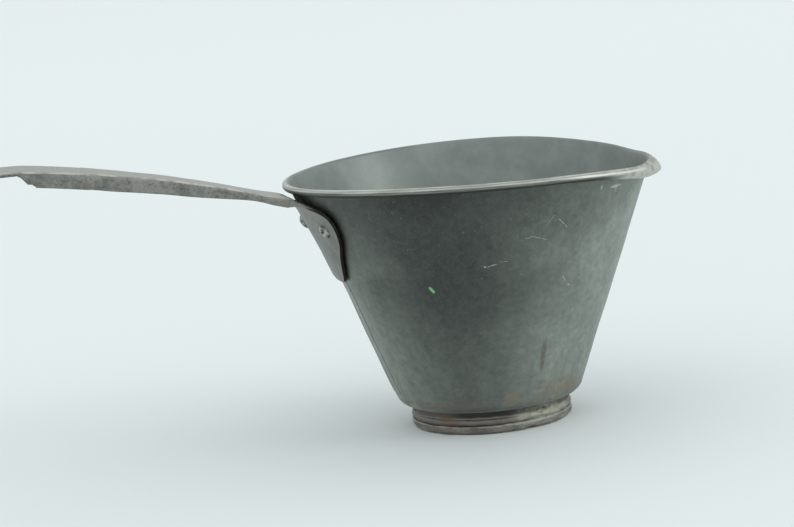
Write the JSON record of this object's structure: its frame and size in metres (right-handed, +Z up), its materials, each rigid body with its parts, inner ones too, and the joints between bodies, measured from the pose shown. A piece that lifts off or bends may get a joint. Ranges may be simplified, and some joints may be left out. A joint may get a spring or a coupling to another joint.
{
  "type": "feed scoop",
  "caption": "Flared tinned-steel cup scoop with a rolled rim, pouring lip, beaded base collar and a riveted flanged strap handle that ends in a hook.",
  "frame": {"origin": "middle of the flat underside of the bottom, on the cup's axis", "axes": "+Z up the cup's axis, handle towards -X, pouring lip towards +X"},
  "size_m": [0.2029, 0.102, 0.0844],
  "materials": {
    "aged_tinplate": "aged dark satin tin, scratched",
    "stained_tinplate": "worn and rust stained tin",
    "handle_steel": "worn grey steel with brown stains",
    "iron_wire": "dull drawn wire",
    "rivet_iron": "hammered, dark in the hollows",
    "solder": "dull rough solder"
  },
  "bodies": {
    "root": {"cup_wall": "aged_tinplate", "rim_wire": "iron_wire", "base_collar": "stained_tinplate", "base_cap": "stained_tinplate", "collar_solder": "solder", "base_solder": "solder", "handle": "handle_steel", "rivet_left": "rivet_iron", "rivet_right": "rivet_iron"}
  },
  "joints": []
}
